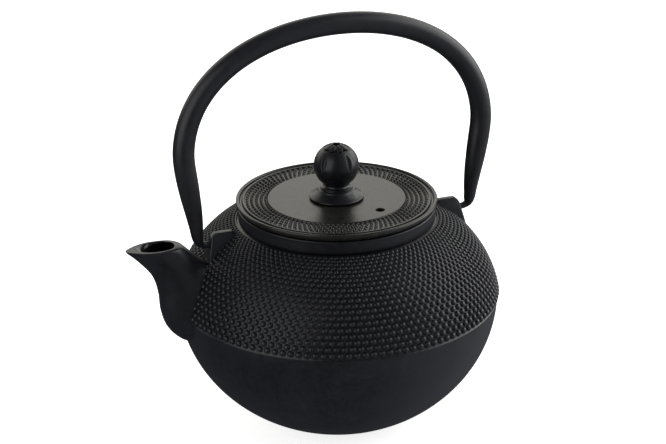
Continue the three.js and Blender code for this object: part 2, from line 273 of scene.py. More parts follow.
def dress(tree, shader, colour, roughness, relief, strength, depth):
    """Links colour and roughness to the shader, and a bump of the given depth in millimetres."""
    bump = add_node(tree, "ShaderNodeBump", links={"Height": relief},
                    inputs={"Strength": strength, "Distance": depth * MM})
    for socket, source in (("Base Color", colour), ("Roughness", roughness),
                           ("Normal", bump.outputs["Normal"])):
        tree.links.new(source, shader.inputs[socket])


# %% Enamelled iron
def satin_black(name, dark, pale, roughness, spread, grain, grain_depth):
    """A baked black coat over iron: colour drift, uneven gloss, sand grain and polished edges."""
    material, tree, shader, place = start_material(name)
    shader.inputs["IOR"].default_value = 1.5
    drift = noise(tree, place, 18, 4.0, Roughness=0.6)
    speckle = noise(tree, place, 2.2, 3.0)
    blend = add_node(tree, "ShaderNodeMix", data_type="FLOAT", inputs={"Factor": 0.45},
                     links={"A": drift.outputs["Fac"], "B": speckle.outputs["Fac"]})
    blend = blend.outputs["Result"]
    gloss = stretched(tree, blend, roughness - spread, roughness + spread, 0.3, 0.7)
    pointed = add_node(tree, "ShaderNodeNewGeometry").outputs["Pointiness"]
    polish = stretched(tree, pointed, 0.0, 0.12, 0.52, 0.62)
    worn = add_node(tree, "ShaderNodeMath", operation="SUBTRACT", use_clamp=True,
                    links={0: gloss, 1: polish})
    sand = noise(tree, place, grain, 2.0)
    pits = add_node(tree, "ShaderNodeTexVoronoi", feature="SMOOTH_F1",
                    inputs={"Scale": 1 / (2.6 * grain * MM), "Smoothness": 0.6},
                    links={"Vector": place})
    relief = add_node(tree, "ShaderNodeMath", operation="ADD",
                      links={0: sand.outputs["Fac"], 1: pits.outputs["Distance"]})
    dress(tree, shader, tinted(tree, blend, [(0.34, dark), (0.66, pale)]),
          worn.outputs["Value"], relief.outputs["Value"], 0.5, grain_depth)
    return material


cast_iron_satin = satin_black(
    "cast_iron_satin_enamel", "#0c0d11", "#17181e", 0.36, 0.06, 0.5, 0.03)
# The lid is the same black enamel as the pot. Its copy here is a little paler and warmer: the
# black is the enamel's own, and the extra lift and olive tint are painted sheen for the light its
# flat top catches.
lid_iron_painted_sheen = satin_black(
    "lid_enamel_painted_sheen", "#121210", "#1f1f1b", 0.29, 0.05, 1.1, 0.012)
cast_iron_knob = satin_black(
    "cast_iron_polished_knob", "#0b0c0f", "#141519", 0.32, 0.05, 0.6, 0.015)
painted_steel = satin_black(
    "painted_rolled_steel", "#101115", "#191a1f", 0.38, 0.05, 1.2, 0.02)

# %% [markdown]
# Inside, the pot is lined with a glassy black enamel against rust. It is far smoother than the
# outside, so it gives small sharp highlights. Slow ripples are all the relief it has.

# %% Glossy lining and stainless steel
def glassy_enamel(name, dark, pale):
    """A poured vitreous enamel lining."""
    material, tree, shader, place = start_material(name)
    shader.inputs["IOR"].default_value = 1.52
    ripple = noise(tree, place, 6, 3.0).outputs["Fac"]
    dress(tree, shader, tinted(tree, ripple, [(0.35, dark), (0.65, pale)]),
          stretched(tree, ripple, 0.08, 0.2), ripple, 0.35, 0.08)
    return material


def stainless(name, stretch, roughness):
    """Drawn or turned stainless steel: fine lines along one direction and soft smears."""
    material, tree, shader, place = start_material(name)
    shader.inputs["Metallic"].default_value = 1.0
    drawn = add_node(tree, "ShaderNodeMapping", inputs={"Scale": stretch},
                     links={"Vector": place})
    lines = noise(tree, drawn.outputs["Vector"], 0.4, 2.0).outputs["Fac"]
    smears = noise(tree, place, 9, 3.0).outputs["Fac"]
    dress(tree, shader, tinted(tree, smears, [(0.3, "#a9a8a5"), (0.7, "#c9c8c5")]),
          stretched(tree, lines, roughness - 0.08, roughness + 0.1), lines, 0.25, 0.01)
    return material


enamel_lining = glassy_enamel("vitreous_enamel_lining", "#08090b", "#101114")
drawn_stainless = stainless("drawn_stainless_sheet", (1, 1, 12), 0.24)
wire_stainless = stainless("woven_stainless_wire", (1, 1, 1), 0.3)
turned_stainless = stainless("turned_stainless_bar", (1, 1, 8), 0.28)
print("materials:", len(bpy.data.materials))

# %% [markdown]
# ## Mesh helpers
# Most pieces are turned, lofted or woven. The helpers turn a profile into a closed solid, join
# rows of points into quads, and make the Blender object, smooth except where two faces meet at
# a real edge.

# %% Mesh helpers
def shade(piece, sharp_degrees):
    """Smooth shading, except where two faces meet at more than an angle."""
    piece.data.shade_smooth()
    piece.data.set_sharp_from_angle(angle=math.radians(sharp_degrees))


def make_object(name, points, faces, materials, sharp_degrees=38):
    """A mesh object from points in millimetres."""
    mesh = bpy.data.meshes.new(name)
    mesh.from_pydata((np.asarray(points, float) * MM).tolist(), [], faces)
    for material in materials:
        mesh.materials.append(material)
    piece = bpy.data.objects.new(name, mesh)
    shade(piece, sharp_degrees)
    bpy.context.scene.collection.objects.link(piece)
    return piece


def circle(steps):
    """Even angles round a full turn."""
    return np.arange(steps) * 2 * math.pi / steps


def ring_quads(rows, columns):
    """Quads between rows of points that each close on themselves."""
    faces = []
    for row in range(rows - 1):
        for column in range(columns):
            after = (column + 1) % columns
            low = row * columns
            high = low + columns
            faces.append((low + column, low + after, high + after, high + column))
    return faces


def tube_faces(rows, columns):
    """Quads between rows of points, and a flat cap on each end."""
    last = (rows - 1) * columns
    return [*ring_quads(rows, columns), tuple(reversed(range(columns))),
            tuple(range(last, last + columns))]


def spun(outline, steps):
    """The points of an outline (radius, height) turned about Z."""
    angles = circle(steps)
    return np.stack([
        np.outer(outline[:, 0], np.cos(angles)),
        np.outer(outline[:, 0], np.sin(angles)),
        np.repeat(outline[:, 1:], steps, axis=1),
    ], axis=-1).reshape(-1, 3)


def turned(profile, steps):
    """Points and faces of a solid turned about Z. The profile starts and ends on the axis."""
    rings = spun(np.asarray(profile[1:-1], float), steps)
    points = np.vstack([rings, [[0, 0, profile[0][1]], [0, 0, profile[-1][1]]]])
    faces = ring_quads(len(profile) - 2, steps)
    start, end = len(rings), len(rings) + 1
    last = len(rings) - steps
    for column in range(steps):
        after = (column + 1) % steps
        faces.append((start, after, column))
        faces.append((end, last + column, last + after))
    return points, faces


def turned_ring(profile, steps):
    """Points and faces of a ring turned about Z from a closed profile."""
    points = spun(np.asarray(profile, float), steps)
    faces = ring_quads(len(profile), steps)
    last = len(points) - steps
    for column in range(steps):
        after = (column + 1) % steps
        faces.append((last + column, last + after, after, column))
    return points, faces


# %% [markdown]
# Cast edges are never sharp, so profiles are drawn with corners and then softened: each corner
# is swapped for a short curve that starts and ends at the given distance from it. Ellipse arcs
# and smooth curves through a few chosen points make the rest.

# %% Curve helpers
def soften(corners, steps=4):
    """Rounds a polyline. Each corner is (radius out, height, distance of the round)."""
    result = []
    for i, (x, y, cut) in enumerate(corners):
        here = np.array((x, y), float)
        if cut == 0 or i in (0, len(corners) - 1):
            result.append(here)
            continue
        before = np.array(corners[i - 1][:2], float) - here
        after = np.array(corners[i + 1][:2], float) - here
        start = here + before / np.linalg.norm(before) * min(cut, np.linalg.norm(before) * 0.5)
        end = here + after / np.linalg.norm(after) * min(cut, np.linalg.norm(after) * 0.5)
        for t in np.linspace(0, 1, steps + 1):
            result.append(start * (1 - t) ** 2 + here * 2 * t * (1 - t) + end * t ** 2)
    return result


def arc(centre, reach, rise, start, end, steps):
    """Points (radius, height) on part of an ellipse."""
    angles = np.linspace(start, end, steps + 1)
    return [np.array((centre[0] + reach * math.cos(a), centre[1] + rise * math.sin(a)))
            for a in angles]


def through(points, t):
    """A smooth curve through points, at share t of their count."""
    points = np.asarray(points, float)
    place = min(max(t, 0.0), 1.0) * (len(points) - 1)
    i = min(int(place), len(points) - 2)
    u = place - i
    p1, p2 = points[i], points[i + 1]
    p0 = points[i - 1] if i > 0 else 2 * p1 - p2
    p3 = points[i + 2] if i + 2 < len(points) else 2 * p2 - p1
    return 0.5 * (2 * p1 + (p2 - p0) * u + (2 * p0 - 5 * p1 + 4 * p2 - p3) * u ** 2
                  + (3 * p1 - p0 - 3 * p2 + p3) * u ** 3)


def smooth_share(value, low, high):
    """0 below low, 1 above high, and an eased rise between."""
    t = np.clip((np.asarray(value, float) - low) / (high - low), 0, 1)
    return t * t * (3 - 2 * t)


# %% [markdown]
# Joining and cutting use Blender's boolean modifier with the manifold solver, which is quick on
# closed meshes. The result is written back to the first object and the cutter is deleted.

# %% Modifier and boolean helpers
def apply_modifiers(piece):
    """Writes the result of the piece's modifiers into its mesh."""
    graph = bpy.context.evaluated_depsgraph_get()
    result = bpy.data.meshes.new_from_object(piece.evaluated_get(graph))
    piece.modifiers.clear()
    old = piece.data
    piece.data = result
    bpy.data.meshes.remove(old)


def carve(piece, operation, *others):
    """Joins (UNION) or cuts (DIFFERENCE) other closed objects into piece."""
    for other in others:
        modifier = piece.modifiers.new("carve", "BOOLEAN")
        modifier.operation = operation
        modifier.solver = "MANIFOLD"
        modifier.material_mode = "TRANSFER"
        modifier.object = other
        apply_modifiers(piece)
        bpy.data.objects.remove(other)
    piece.data.name = piece.name


# %% [markdown]
# ## The pot
# The pot is one sand casting: a smooth bowl, a hobnail shoulder, a plain neck, the spout and two
# lugs. Here the casting's smooth skin is turned first. Under the hobnails it lies a little
# deeper, because the nails are a band of their own on top of it.

# %% Pot profile
BOWL_DEPTH = 73
SHOULDER_REACH = 50
SHOULDER_RISE = 46
SHOULDER_DROP = 2
WALL = 4
FLOOR_THICKNESS = 5
NECK_RADIUS = 50.2
THROAT_RADIUS = 42.3
LEDGE_RADIUS = 45.9
LEDGE_DEPTH = 1.4
BOWL_INSET = 0.15
BAND_SEAT = 1.4
SHOULDER_FLATTENING = 1.7
WAIST_SWELL = 0.25
SHOULDER_CENTRE = (BODY_RADIUS - SHOULDER_REACH, WAIST_HEIGHT - SHOULDER_DROP)
SHOULDER_START = math.asin(SHOULDER_DROP / SHOULDER_RISE)
SHOULDER_END = math.acos((NECK_RADIUS + 1.2 - SHOULDER_CENTRE[0]) / SHOULDER_REACH)
TURN_STEPS = 224


def flattened(angle):
    """How far the shoulder lies inside a true ellipse: most at its middle, none at its top."""
    share = (np.asarray(angle) - SHOULDER_START) / (SHOULDER_END - SHOULDER_START)
    dip = SHOULDER_FLATTENING * np.sin(math.pi * np.clip(share, 0, 1))
    return dip - WAIST_SWELL * (1 - share)


def pot_outside():
    """The profile of the skin, from the foot to the top of the neck."""
    bowl_start = -math.asin(WAIST_HEIGHT / BOWL_DEPTH)
    bowl = arc((0, WAIST_HEIGHT), BODY_RADIUS - BOWL_INSET, BOWL_DEPTH, bowl_start, -0.012, 56)
    seat_end = SHOULDER_END + 0.03
    seat = arc(SHOULDER_CENTRE, SHOULDER_REACH - BAND_SEAT, SHOULDER_RISE - BAND_SEAT,
               SHOULDER_START, seat_end, 36)
    seat = [point - (flattened(angle), 0)
            for point, angle in zip(seat, np.linspace(SHOULDER_START, seat_end, 37))]
    foot = soften([(0, 0, 0), (bowl[0][0], 0, 2.5), (bowl[1][0], bowl[1][1], 0)])
    neck_foot = seat[-1][1] + 0.4
    neck = soften([(seat[-1][0], seat[-1][1], 0), (NECK_RADIUS - 0.25, neck_foot, 0.8),
                   (NECK_RADIUS - 0.15, NECK_TOP - 1.4, 0.4), (NECK_RADIUS + 0.1, NECK_TOP, 0.7),
                   (NECK_RADIUS - 3, NECK_TOP, 0)])
    return [*foot, *bowl[2:], *seat, *neck[1:], np.array((0, NECK_TOP))]


def pot_inside():
    """The profile of the hollow, from the floor to just above the neck."""
    reach = SHOULDER_REACH - WALL
    rise = SHOULDER_RISE - WALL
    depth = BOWL_DEPTH - WALL
    top = math.acos((THROAT_RADIUS - SHOULDER_CENTRE[0]) / reach)
    floor_angle = -math.asin((WAIST_HEIGHT - FLOOR_THICKNESS) / depth)
    bowl = arc((0, WAIST_HEIGHT), BODY_RADIUS - WALL, depth, floor_angle, -0.02, 32)
    shoulder = arc(SHOULDER_CENTRE, reach, rise, 0.06, top, 18)
    ledge = NECK_TOP - LEDGE_DEPTH
    throat = soften([(*shoulder[-1], 0), (THROAT_RADIUS, ledge, 0.6), (LEDGE_RADIUS, ledge, 0.3),
                     (LEDGE_RADIUS, NECK_TOP, 0), (LEDGE_RADIUS + 0.6, NECK_TOP + 1, 0)])
    return [np.array((0, FLOOR_THICKNESS)), *bowl, *shoulder, *throat[1:],
            np.array((0, NECK_TOP + 1))]


pot = make_object("pot_casting", *turned(pot_outside(), TURN_STEPS), [cast_iron_satin])
cavity = make_object("cavity", *turned(pot_inside(), TURN_STEPS - 32), [enamel_lining])
print("pot skin faces:", len(pot.data.polygons))

# %% [markdown]
# ## The spout
# The spout rises from a deep root in an S, narrows, and flares to a level teardrop mouth with a
# pointed lip that cuts the drip. It is a loft: at each station the front edge and the back edge
# give the section's length, a list gives its half width, and towards the mouth the oval draws
# to a point. The outside and the bore are the same loft with a different wall.

# %% Spout loft
SPOUT_FRONT = [
    (62, -15), (74, -17), (84, -13.5), (91, -6), (94, 3), (94.9, 13), (97.8, 23), (105, 32.2),
    (111.4, 38.2)]
SPOUT_BACK = [
    (56, 20), (62, 24), (66.5, 25.5), (69.5, 26.6), (72, 28), (74.5, 30), (77.4, 33),
    (80.2, 35.8), (82.8, 38.2)]
SPOUT_HALF_WIDTH = [(12,), (13.5,), (13.2,), (12.2,), (11,), (10,), (9.2,), (8.6,), (8.2,)]
SPOUT_WALL = 2.4
LIP_ROUND = 0.7
MOUTH_POINT = 0.36
BEAK_LENGTH = 1.6
BORE_OVERSHOOT = 1.5
LIP_SHARE = 0.94


def spout_skin(name, wall, material, stations=72, sides=72):
    """The spout's outer skin (wall 0) or its bore, as a closed loft from root to mouth."""
    points = []
    shares = np.append(np.linspace(0, LIP_SHARE, stations - 12), LIP_SHARE + (1 - LIP_SHARE)
                       * np.sin(np.linspace(0, math.pi / 2, 13)[1:]))
    lean = np.cos(circle(sides))
    aside = np.sin(circle(sides))
    for t in shares:
        front = through(SPOUT_FRONT, t)
        rear = through(SPOUT_BACK, t)
        middle = (front + rear) / 2
        half = (front - rear) / 2
        length = np.linalg.norm(half)
        near_mouth = float(smooth_share(t, LIP_SHARE, 1.0))
        rounding = LIP_ROUND * (1 - math.sqrt(max(0.0, 1 - near_mouth ** 2)))
        pull = wall * (1 + 0.6 * t) - rounding if wall > 0 else rounding
        beak = BEAK_LENGTH * float(smooth_share(t, 0.8, 1.0)) if wall > 0 else 0.0
        middle = middle - half / length * beak / 2
        half = half / length * (length - pull - beak / 2)
        point = MOUTH_POINT * float(smooth_share(t, 0.55, 1))
        narrowing = 1 - point * lean * np.abs(lean)
        narrowing = narrowing * np.where(lean > 0, 1 - 0.25 * point * lean, 1)
        side_pull = wall - rounding if wall > 0 else rounding
        width = (through(SPOUT_HALF_WIDTH, t)[0] - side_pull) * narrowing
        out = middle[0] + half[0] * lean
        up = middle[1] + half[1] * lean
        if wall > 0 and t == shares[-1]:
            up = up + BORE_OVERSHOOT
        points.append(np.stack([-out, aside * width, WAIST_HEIGHT + up], axis=-1))
    faces = [face[::-1] for face in tube_faces(len(shares), sides)]
    return make_object(name, np.vstack(points), faces, [material])


spout = spout_skin("spout_skin", 0, cast_iron_satin)
bore = spout_skin("spout_bore", SPOUT_WALL, enamel_lining)

# %% [markdown]
# ## The lugs
# Each lug is a drafted fin, thick at its foot and thin on top, so that it drew cleanly from the
# sand. A blind hole in its outer end takes the bail's pin. Its edges are bevelled before it is
# joined to the pot.

# %% Lugs
LUG_OUTLINE = [(50, 36), (56, 41.2), (65.2, 41.2), (67, 39.4), (69, 31.5), (70.4, 24), (58, 24)]
LUG_TOP_HALF = 2.0
LUG_DRAFT = 0.28
PIN_TIP = 62
PIN_HOLE_RADIUS = 2.1


def lug(side):
    """One fin, on the spout's side (-1) or opposite it (1)."""
    top = max(up for _, up in LUG_OUTLINE)
    points = []
    for face_side in (-1, 1):
        for out, up in LUG_OUTLINE:
            half = LUG_TOP_HALF + (top - up) * LUG_DRAFT
            points.append((side * out, side * face_side * half, WAIST_HEIGHT + up))
    count = len(LUG_OUTLINE)
    faces = [tuple(range(count)), tuple(count + i for i in reversed(range(count)))]
    for i in range(count):
        after = (i + 1) % count
        faces.append((i, i + count, after + count, after))
    fin = make_object(f"lug_{side}", points, faces, [cast_iron_satin])
    bevel = fin.modifiers.new("round_edges", "BEVEL")
    bevel.width = 0.8 * MM
    bevel.segments = 3
    apply_modifiers(fin)
    return fin


def pin_hole(side):
    """The cutter for the blind hole in one fin."""
    steps = 40
    rings = [np.stack([np.full(steps, side * out), side * PIN_HOLE_RADIUS * np.cos(circle(steps)),
                       PIVOT_HEIGHT + PIN_HOLE_RADIUS * np.sin(circle(steps))], axis=-1)
             for out in (PIN_TIP - 1, 70.0)]
    return make_object(f"pin_hole_{side}", np.vstack(rings), tube_faces(2, steps),
                       [cast_iron_satin])


carve(pot, "UNION", spout, lug(-1), lug(1))
carve(pot, "DIFFERENCE", cavity, bore, pin_hole(-1), pin_hole(1))
shade(pot, 40)
print("pot casting faces:", len(pot.data.polygons), "materials:", len(pot.data.materials))
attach(pot, "pot")
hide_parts("pot_body")

# %% [markdown]
# ## The hobnails
# The shoulder carries rows of small round nails, staggered like bricks, which shrink towards the
# neck. They come from a pattern stamped into the sand, so each is a little dome that grows out
# of the skin. They could be a displacement, but that needs millions of faces. Here the shoulder
# is unrolled so that the rows become a regular honeycomb: each cell is a hexagon with a dome of
# three rings in it, and cells share their corners, so the whole band is one closed skin.

# %% Honeycomb of domes
DOME_SIDES = 12
DOME_RINGS = [(1.0, 0.0), (0.9, 0.42), (0.66, 0.78), (0.34, 0.96)]


def nail_field(name, around, rows, place, material, radius_share, row_share, dome_height,
               margins, under, lip=0.0, first_row=0):
    """A closed band of domes. place(angle, row position, lift) gives points in millimetres and
    dome_height(row) a dome's height. A dome's radius is radius_share of the spacing round the
    band, and row_share turns that into rows. margins are the plain strips below and above, under
    lists the (row position, lift) of the hidden back, and the low edge stands lip above the
    ground."""
    points, faces = [], []
    step = 2 * math.pi / around
    base = {}
    corner_count = 2 * around
    turn = np.arange(corner_count) * step / 2
    below, above = margins

    def ring(row_position, lift=0.0):
        first = len(points)
        row_positions = np.broadcast_to(row_position, turn.shape)
        points.extend(place(turn, row_positions + first_row, np.full(turn.shape, lift)))
        return first

    def stitch(low, high):
        for i in range(corner_count):
            after = (i + 1) % corner_count
            faces.append((low + i, low + after, high + after, high + i))

    for boundary in range(rows + 1):
        matches = (np.arange(corner_count) + boundary) % 2 == 1
        base[boundary] = ring(boundary - 0.5 + np.where(matches, 1 / 6, -1 / 6))
    low_edge, high_edge = base[0], base[rows]
    if below > 0:
        low_edge = ring(-0.5 - below, lip)
        stitch(low_edge, base[0])
    if above > 0:
        high_edge = ring(rows - 0.5 + above)
        stitch(base[rows], high_edge)

    spin = circle(DOME_SIDES)
    for row in range(rows):
        for i in range(around):
            centre_index = 2 * i + (row % 2)
            centre_angle = centre_index * step / 2
            firsts = []
            for share, lift_share in DOME_RINGS:
                firsts.append(len(points))
                points.extend(place(
                    centre_angle + np.cos(spin) * share * radius_share * step,
                    row + np.sin(spin) * share * radius_share * row_share + first_row,
                    np.full(DOME_SIDES, lift_share * dome_height(row + first_row))))
            low, high = base[row], base[row + 1]
            left = (centre_index - 1) % corner_count
            right = (centre_index + 1) % corner_count
            middle = centre_index % corner_count
            corners = [high + right, high + middle, high + left, low + left, low + middle,
                       low + right]
            first = firsts[0]
            for k in range(6):
                after = (k + 1) % 6
                a, b, c = ((2 * k + 1 + j) % DOME_SIDES for j in range(3))
                faces.append((corners[k], corners[after], first + c, first + b, first + a))
            for inner, outer in zip(firsts[1:], firsts[:-1]):
                for j in range(DOME_SIDES):
                    after = (j + 1) % DOME_SIDES
                    faces.append((outer + j, outer + after, inner + after, inner + j))
            faces.append(tuple(firsts[-1] + j for j in range(DOME_SIDES)))

    previous = high_edge
    for row_position, lift in under:
        current = ring(row_position, lift)
        stitch(previous, current)
        previous = current
    stitch(previous, low_edge)
    return make_object(name, points, faces, [material], sharp_degrees=60)


# %% [markdown]
# On the shoulder the rows are spaced so that each cell keeps the same shape: the row spacing
# shrinks with the radius, as the nails do. A table of the shoulder's curve gives the radius,
# the height and the outward direction at any row. The band is built in two halves, so that
# neither piece is too heavy, and both are cut where the spout comes through.

# %% Hobnail band on the shoulder
NAILS_AROUND = 128
NAIL_ROWS = 20
NAIL_RADIUS_SHARE = 0.42
NAIL_HEIGHT_SHARE = 0.32
BAND_SINK = 0.55
LIP_LIFT = 0.6
BACK_DEPTH = 1.5
SPOUT_OVERLAP = 1.1

table_angles = np.linspace(SHOULDER_START - 0.02, SHOULDER_END, 600)
table_r = SHOULDER_CENTRE[0] + SHOULDER_REACH * np.cos(table_angles) - flattened(table_angles)
table_z = SHOULDER_CENTRE[1] + SHOULDER_RISE * np.sin(table_angles)
table_step = np.hypot(np.diff(table_r), np.diff(table_z))
table_unrolled = np.append(0, np.cumsum(table_step / ((table_r[1:] + table_r[:-1]) / 2)))
normal_r = np.cos(table_angles) / SHOULDER_REACH
normal_z = np.sin(table_angles) / SHOULDER_RISE
normal_length = np.hypot(normal_r, normal_z)
normal_r, normal_z = normal_r / normal_length, normal_z / normal_length
EDGE_MARGIN = 0.25
unrolled_row = table_unrolled[-1] / (NAIL_ROWS + 2 * EDGE_MARGIN)


def on_shoulder(angle, row, lift):
    """Points at an angle and a row position, lifted off the band's ground."""
    unrolled = (np.asarray(row) + 0.5 + EDGE_MARGIN) * unrolled_row
    radius = np.interp(unrolled, table_unrolled, table_r)
    rise = np.interp(unrolled, table_unrolled, table_z)
    lean_r = np.interp(unrolled, table_unrolled, normal_r)
    lean_z = np.interp(unrolled, table_unrolled, normal_z)
    radius = radius + lean_r * (lift - BAND_SINK)
    rise = rise + lean_z * (lift - BAND_SINK)
    return np.stack([radius * np.cos(angle), radius * np.sin(angle), rise], axis=-1)


def nail_height(row):
    """A nail's height: a fixed share of the spacing in its row."""
    unrolled = (row + 0.5 + EDGE_MARGIN) * unrolled_row
    spacing = 2 * math.pi * np.interp(unrolled, table_unrolled, table_r) / NAILS_AROUND
    return NAIL_HEIGHT_SHARE * spacing


row_share = (2 * math.pi / NAILS_AROUND) / unrolled_row
HALF_ROWS = NAIL_ROWS // 2
back_rows = [(row, -BACK_DEPTH) for row in (HALF_ROWS - 0.5, 7, 4.5, 2, -0.5)]
for name, first_row, margins in (("hobnails_lower", 0, (EDGE_MARGIN, 0.0)),
                                 ("hobnails_upper", HALF_ROWS, (0.0, EDGE_MARGIN))):
    band = nail_field(name, NAILS_AROUND, HALF_ROWS, on_shoulder, cast_iron_satin,
                      NAIL_RADIUS_SHARE, row_share, nail_height, margins, back_rows,
                      lip=LIP_LIFT, first_row=first_row)
    print(name, "faces:", len(band.data.polygons))
    carve(band, "DIFFERENCE", spout_skin("spout_core", SPOUT_OVERLAP, cast_iron_satin))
    shade(band, 60)
    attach(band, "pot")

# %% [markdown]
# ## The lid
# The lid is a second casting, turned here from its profile: a raised rim, a groove, a thin
# ridge, a sunk band for the nails, a plain disc and, below, a skirt that centres it. The vent
# lets air in while the tea pours, and the hole in the middle takes the knob's screw.

# %% Lid plate
LID_BOTTOM = NECK_TOP + 0.3
SKIRT_RADIUS = 39.8
SKIRT_WALL = 2.2
SKIRT_DEPTH = 6.5
DISC_TOP = LID_TOP - 0.2
DISC_RADIUS = 34.8
LID_GROUND = LID_TOP - 1.15
VENT_RADIUS = 2.4
VENT_REACH = 28
VENT_ANGLE = math.radians(-60)
SCREW_HOLE_RADIUS = 2.3


def lid_profile():
    """The lid's outline, from its underside round the rim to the disc."""
    rim = LID_RADIUS - 1.7
    seat = LID_GROUND - 0.5
    return soften([
        (0, LID_BOTTOM, 0), (SKIRT_RADIUS - SKIRT_WALL, LID_BOTTOM, 0.6),
        (SKIRT_RADIUS - SKIRT_WALL, LID_BOTTOM - SKIRT_DEPTH, 0.5),
        (SKIRT_RADIUS, LID_BOTTOM - SKIRT_DEPTH, 0.5), (SKIRT_RADIUS, LID_BOTTOM, 0.6),
        (NECK_RADIUS - 0.8, LID_BOTTOM, 0.5), (LID_RADIUS - 0.5, LID_BOTTOM + 1.2, 0.4),
        (LID_RADIUS, LID_BOTTOM + 1.8, 0.4), (LID_RADIUS, LID_TOP, 0.85), (rim, LID_TOP, 0.85),
        (rim - 0.3, LID_TOP - 1.7, 0.3), (rim - 1.4, LID_TOP - 1.7, 0.3),
        (rim - 1.7, LID_TOP - 0.3, 0.25), (rim - 2.6, LID_TOP - 0.3, 0.25),
        (rim - 2.9, seat, 0), (DISC_RADIUS + 0.5, seat, 0), (DISC_RADIUS, DISC_TOP, 0.35),
        (DISC_RADIUS - 1, DISC_TOP, 0), (22, DISC_TOP, 0), (8, DISC_TOP, 0), (0, DISC_TOP, 0)],
        steps=5)


def peg(name, radius, bottom, top, material, centre=(0, 0), flare=0.0, steps=48):
    """A closed round cutter; flare widens its top end, which leaves a softened rim."""
    profile = [(0, bottom), (radius, bottom), (radius, top - 2 - flare),
               (radius + 0.3 * flare, top - 2 - 0.3 * flare), (radius + flare, top - 2),
               (radius + flare, top), (0, top)]
    points, faces = turned(profile, steps)
    points[:, 0] += centre[0]
    points[:, 1] += centre[1]
    return make_object(name, points, faces, [material])


lid = make_object("lid_casting", *turned(lid_profile(), TURN_STEPS), [lid_iron_painted_sheen])
vent_place = (VENT_REACH * math.cos(VENT_ANGLE), VENT_REACH * math.sin(VENT_ANGLE))
vent = peg("vent", VENT_RADIUS - 0.1, LID_BOTTOM - 2, DISC_TOP + 2, lid_iron_painted_sheen,
           centre=vent_place, flare=0.35)
screw_hole = peg("screw_hole", SCREW_HOLE_RADIUS, LID_BOTTOM - 2, LID_TOP + 2, lid_iron_painted_sheen)
carve(lid, "DIFFERENCE", vent, screw_hole)
shade(lid, 35)
lid.modifiers.new("flat_faces_lead", "WEIGHTED_NORMAL").keep_sharp = True
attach(lid, "lid_set")
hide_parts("lid")
print("lid faces:", len(lid.data.polygons))

# %% [markdown]
# The band on the lid repeats the hobnails in five rings. The same function builds it, this time
# on flat ground, with the rows counted from the rim towards the disc.

# %% Nails on the lid
LID_NAILS_AROUND = 92
LID_RINGS = [46.5, 45.4, 42.95, 40.55, 38.15, 35.85, 34.85]
LID_RING_ROWS = [-0.6, 0, 1, 2, 3, 4, 4.6]
LID_NAIL_HEIGHT = 0.95
LID_NAIL_RADIUS_SHARE = 0.34
LID_ROW_SHARE = 1.155


def on_lid(angle, row, lift):
    """Points at an angle and a ring position, lifted off the band's ground."""
    radius = np.interp(row, LID_RING_ROWS, LID_RINGS)
    return np.stack([
        radius * np.cos(angle), radius * np.sin(angle),
        LID_GROUND + np.broadcast_to(lift, np.shape(radius))], axis=-1)


lid_nails = nail_field(
    "lid_nails", LID_NAILS_AROUND, 5, on_lid, lid_iron_painted_sheen, LID_NAIL_RADIUS_SHARE,
    LID_ROW_SHARE, lambda row: LID_NAIL_HEIGHT, (0.1, 0.1), [(4.6, -1.1), (-0.6, -1.1)])
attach(lid_nails, "lid_set")
print("lid nail faces:", len(lid_nails.data.polygons))

# %% [markdown]
# ## The knob
# The knob is a cast ball on a ringed stem and a flared foot. Five leaf-shaped grooves run down
# the ball and an eight-petalled flower sits in a sunk ring on top, round a small hole. The
# profile is turned in fine steps, and each point is then pushed in along its normal wherever a
# groove passes. That is chasing: cutting a pattern into a turned shape.

# %% Knob with leaves and flower
BALL_RADIUS = 11.4
BALL_CENTRE = KNOB_SEAT + 17
STEM_RADIUS = 6.7
STEM_TOP = KNOB_SEAT + 7.5
CROWN_LATITUDE = math.radians(40)
LEAF_COUNT = 5
LEAF_START = math.radians(-74)
LEAF_MIDDLE = math.radians(20)
LEAF_REACH = math.radians(23)
LEAF_HALF_WIDTH = 1.4
LEAF_DEPTH = 1.0
PETALS = 8
MOAT_RADIUS = 7.4
PETAL_TIP = 6.6
PETAL_ROOT = 4.6
MOAT_DEPTH = 1.1
TOP_HOLE_RADIUS = 1.9
KNOB_STEPS = 288


def even_profile(profile, spacing):
    """The same polyline with points at an even spacing."""
    profile = np.asarray(profile, float)
    along = np.append(0, np.cumsum(np.linalg.norm(np.diff(profile, axis=0), axis=1)))
    places = np.linspace(0, along[-1], int(along[-1] / spacing) + 1)
    return np.stack([np.interp(places, along, profile[:, k]) for k in (0, 1)], axis=-1)


def knob_depth(radius, height, turn):
    """How deep the pattern cuts at points of the ball, in millimetres."""
    latitude = np.arctan2(height - BALL_CENTRE, radius)
    period = 2 * math.pi / LEAF_COUNT
    aside = (turn - LEAF_START + period / 2) % period - period / 2
    share = np.clip(1 - ((latitude - LEAF_MIDDLE) / LEAF_REACH) ** 2, 0, 1)
    half_width = LEAF_HALF_WIDTH * share + 1e-6
    across = np.clip(1 - (aside * radius / half_width) ** 2, 0, 1)
    depth = LEAF_DEPTH * across * np.sqrt(share)
    wave = np.abs(np.cos(PETALS / 2 * turn))
    edge = PETAL_ROOT + (PETAL_TIP - PETAL_ROOT) * wave ** 0.6
    in_moat = smooth_share(radius, edge - 0.15, edge + 0.25) * (
        1 - smooth_share(radius, MOAT_RADIUS - 0.3, MOAT_RADIUS))
    petal_gap = np.abs((turn * PETALS / (2 * math.pi)) % 1 - 0.5) * 2 * math.pi / PETALS * radius
    crease = 0.6 * np.exp(-(petal_gap / 0.35) ** 2) * smooth_share(radius, 2.3, 3.2)
    crown = np.maximum(in_moat * MOAT_DEPTH, crease * (radius < edge))
    on_crown = (latitude > CROWN_LATITUDE) & (radius > TOP_HOLE_RADIUS + 0.1)
    return depth + np.where(on_crown, crown, 0)


